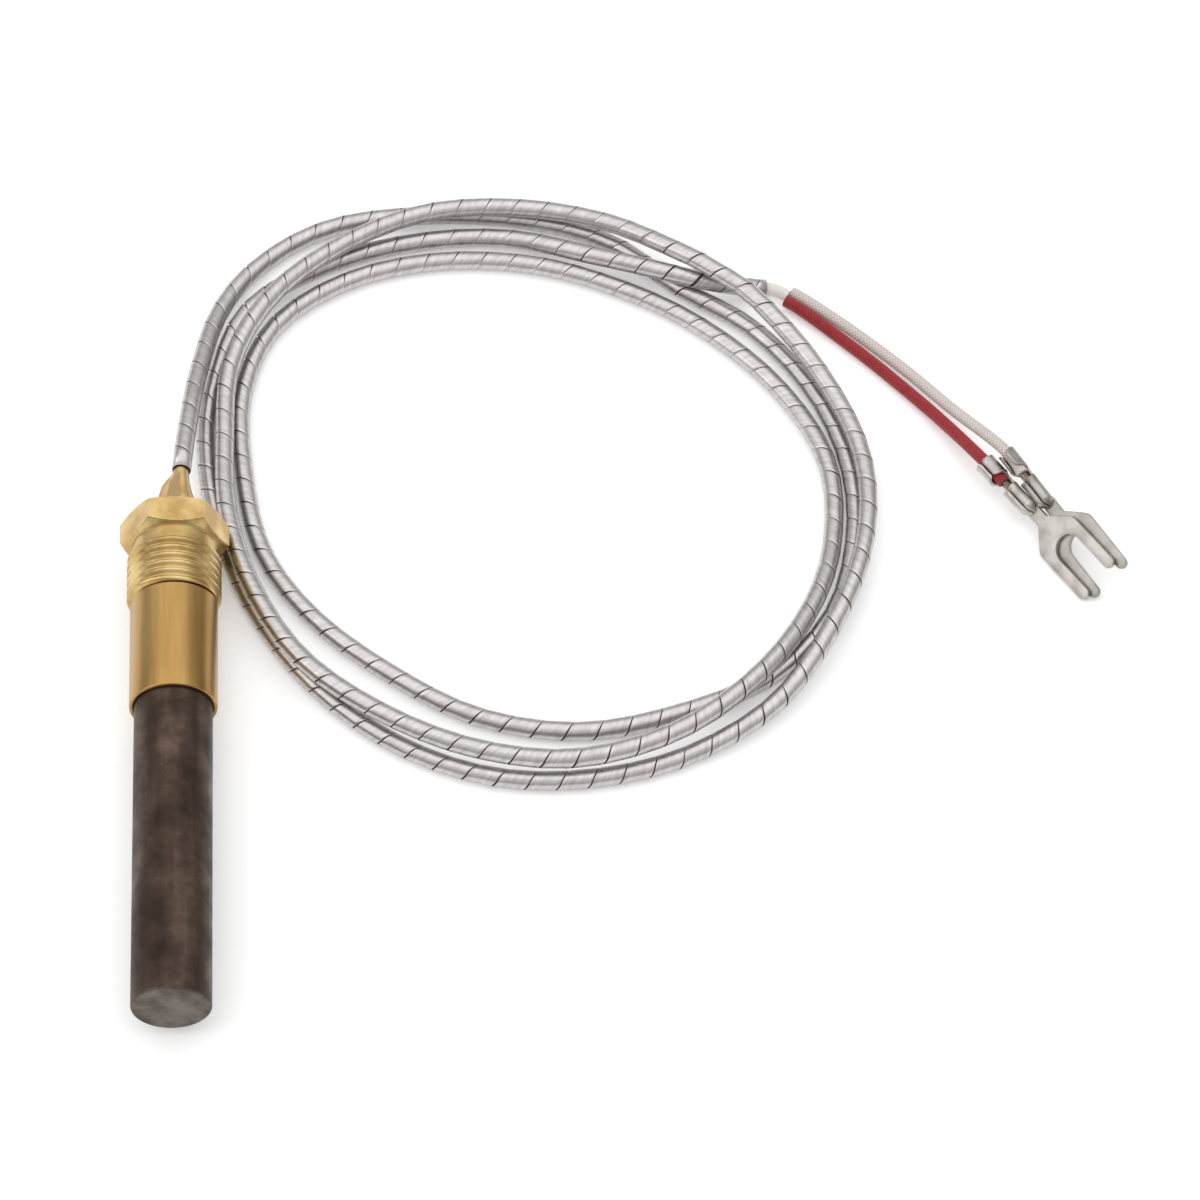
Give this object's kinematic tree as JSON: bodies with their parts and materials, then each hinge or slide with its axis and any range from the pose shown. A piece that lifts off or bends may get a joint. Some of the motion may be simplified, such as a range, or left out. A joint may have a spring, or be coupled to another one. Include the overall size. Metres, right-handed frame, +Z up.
{
  "type": "thermocouple",
  "caption": "Thermopile flame sensor with threaded brass adapter, coiled spiral-armoured lead and two fork terminals on red and white braided wires",
  "frame": {"origin": "On the probe's axis, where the front face of the adapter's hexagon crosses it", "axes": "+X to the side of the probe on which the coil and the terminals lie; +Y along the probe's axis, from the hot tip towards the armoured lead; +Z up from the level surface that the object lies on"},
  "size_m": [0.1347, 0.1327, 0.0134],
  "materials": {
    "heat_steel": "oxidised dark brown",
    "sleeve_brass": "heat-tinted drawn brass",
    "adapter_brass": "machined brass",
    "leg_alloy": "bare wire",
    "ceramic": "unglazed",
    "mica": "pressed mica sheet",
    "armour_strip": "wound strip, satin",
    "red_glass": "braided glass fibre",
    "white_glass": "braided glass fibre",
    "tinned_wire": "tinned strands",
    "tinned_brass": "satin tin plate"
  },
  "bodies": {
    "root": {"hot_tube": "heat_steel", "cold_sleeve": "sleeve_brass", "adapter": "adapter_brass", "outer_legs": "leg_alloy", "inner_legs": "leg_alloy", "hot_junctions": "leg_alloy", "cold_junctions": "leg_alloy", "core_rod": "ceramic", "leg_divider": "mica", "mica_wrap": "mica", "tip_disc": "ceramic", "cold_disc": "ceramic", "cement_plug": "ceramic", "positive_tail": "leg_alloy", "negative_tail": "leg_alloy", "armour": "armour_strip", "glass_sleeve": "white_glass", "red_lead": "red_glass", "white_lead": "white_glass", "red_conductor": "tinned_wire", "white_conductor": "tinned_wire", "red_terminal": "tinned_brass", "white_terminal": "tinned_brass"}
  },
  "joints": []
}
